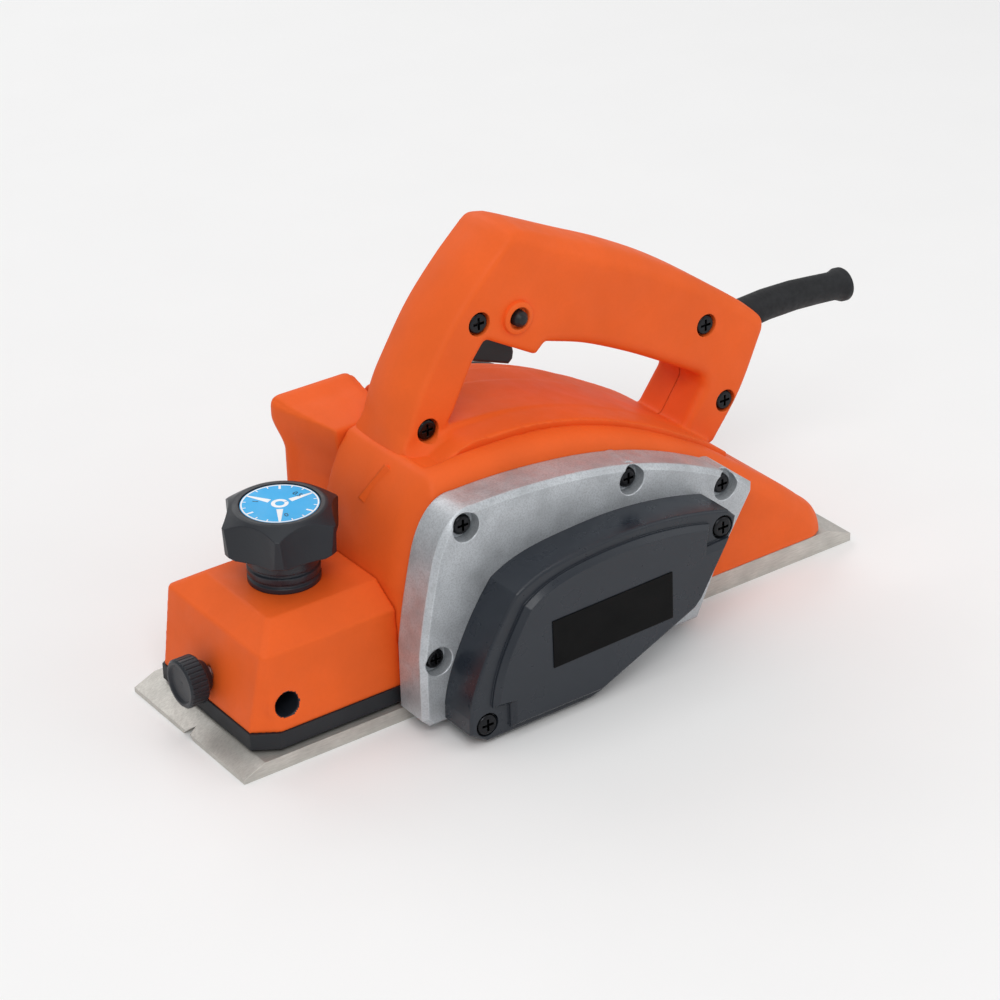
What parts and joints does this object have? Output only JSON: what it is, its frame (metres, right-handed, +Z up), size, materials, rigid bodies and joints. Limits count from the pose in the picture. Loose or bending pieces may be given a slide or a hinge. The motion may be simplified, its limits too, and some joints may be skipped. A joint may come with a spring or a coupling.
{
  "type": "electric hand planer",
  "caption": "Electric hand planer with D handle, side belt cover, depth knob, chip chute and cord guard.",
  "frame": {"origin": "middle of the sole's width on the sole plane, 35 mm behind the cutter drum's axis", "axes": "+X to the rear of the tool, +Y away from the belt cover, +Z up, in metres"},
  "size_m": [0.3304, 0.155, 0.1755],
  "materials": {
    "orange_plastic": "matte",
    "dark_plastic": "satin",
    "black_plastic": "matte",
    "black_rubber": "matte",
    "label_print": "gloss",
    "dial_print": "satin",
    "cast_aluminium": "satin",
    "black_steel": "satin",
    "steel": "satin",
    "core_steel": "matte",
    "copper": "satin",
    "brass": "satin",
    "carbon": "matte",
    "capacitor_film": "satin"
  },
  "bodies": {
    "planer_body": {"main_housing": "orange_plastic", "front_housing": "orange_plastic", "front_skirt": "dark_plastic", "rear_shoe": "cast_aluminium", "rear_shoe_screws": "steel", "shoe_springs": "steel", "chip_chute": "orange_plastic", "drum_shroud": "cast_aluminium", "side_plate": "cast_aluminium", "side_plate_screws": "black_steel", "belt_cover": "dark_plastic", "belt_cover_screws": "black_steel", "cover_label": "label_print", "drive_belt": "black_rubber", "handle_left": "orange_plastic", "handle_right": "orange_plastic", "handle_screws": "black_steel", "lock_spring": "steel", "trigger_pin": "steel", "switch_body": "black_plastic", "capacitor": "capacitor_film", "cord_guard": "black_rubber", "cord_clamp": "black_plastic", "cord_clamp_screws": "steel", "drum_bearings": "steel", "motor_bearings": "steel", "stator_core": "core_steel", "field_coils": "copper", "air_baffle": "black_plastic", "brush_holders": "brass", "carbon_brushes": "carbon", "brush_springs": "steel", "brush_caps": "black_plastic", "motor_end_cap": "black_plastic", "end_cap_screws": "steel"},
    "front_sole": {"front_shoe": "cast_aluminium", "guide_pins": "steel"},
    "depth_control": {"depth_screw": "steel", "screw_clip": "steel", "knob_collar": "dark_plastic", "depth_knob": "black_plastic", "depth_dial": "dial_print"},
    "fence_clamp": {"guide_knob": "black_plastic", "guide_screw": "steel"},
    "cutter": {"cutter_drum": "cast_aluminium", "blades": "steel", "blade_clamps": "black_steel", "blade_screws": "steel", "drum_pulley": "cast_aluminium", "drum_pulley_nut": "steel"},
    "rotor": {"motor_shaft": "steel", "rotor_core": "core_steel", "rotor_windings": "copper", "commutator": "copper", "cooling_fan": "black_plastic", "motor_pulley": "cast_aluminium", "motor_pulley_nut": "steel"},
    "trigger_lever": {"trigger": "black_plastic"},
    "lock": {"lock_button": "black_plastic"}
  },
  "joints": [
    {"name": "front_sole_lift", "type": "slide", "parent": "planer_body", "child": "front_sole", "axis": [0, 0, 1], "range_m": [0, 0.001], "deforming": ["shoe_springs"]},
    {"name": "depth_knob_turn", "type": "hinge", "parent": "planer_body", "child": "depth_control", "pos_m": [-0.103, 0, 0], "axis": [0, 0, 1], "range_deg": [0, 240]},
    {"name": "fence_clamp_turn", "type": "hinge", "parent": "planer_body", "child": "fence_clamp", "pos_m": [-0.145, 0, 0.0243], "axis": [1, 0, 0], "continuous": true},
    {"name": "cutter_spin", "type": "hinge", "parent": "planer_body", "child": "cutter", "pos_m": [-0.035, 0, 0.0262], "axis": [0, 1, 0], "continuous": true},
    {"name": "rotor_spin", "type": "hinge", "parent": "planer_body", "child": "rotor", "pos_m": [0.028, 0, 0.044], "axis": [0, 1, 0], "continuous": true},
    {"name": "trigger_pull", "type": "hinge", "parent": "planer_body", "child": "trigger_lever", "pos_m": [-0.012, 0, 0.1375], "axis": [0, -1, 0], "range_deg": [0, 7], "stiffness_Nm_per_rad": 0.3, "springref_deg": -8.59},
    {"name": "lock_button_press", "type": "slide", "parent": "planer_body", "child": "lock", "axis": [0, 1, 0], "range_m": [0, 0.003], "stiffness_N_per_m": 300, "springref_m": -0.002, "deforming": ["lock_spring"]}
  ],
  "couplings": [
    {"joint": "depth_knob_turn", "follows": "front_sole_lift", "rad_per_m": 4188.7},
    {"joint": "rotor_spin", "follows": "cutter_spin", "ratio": 1.28}
  ]
}
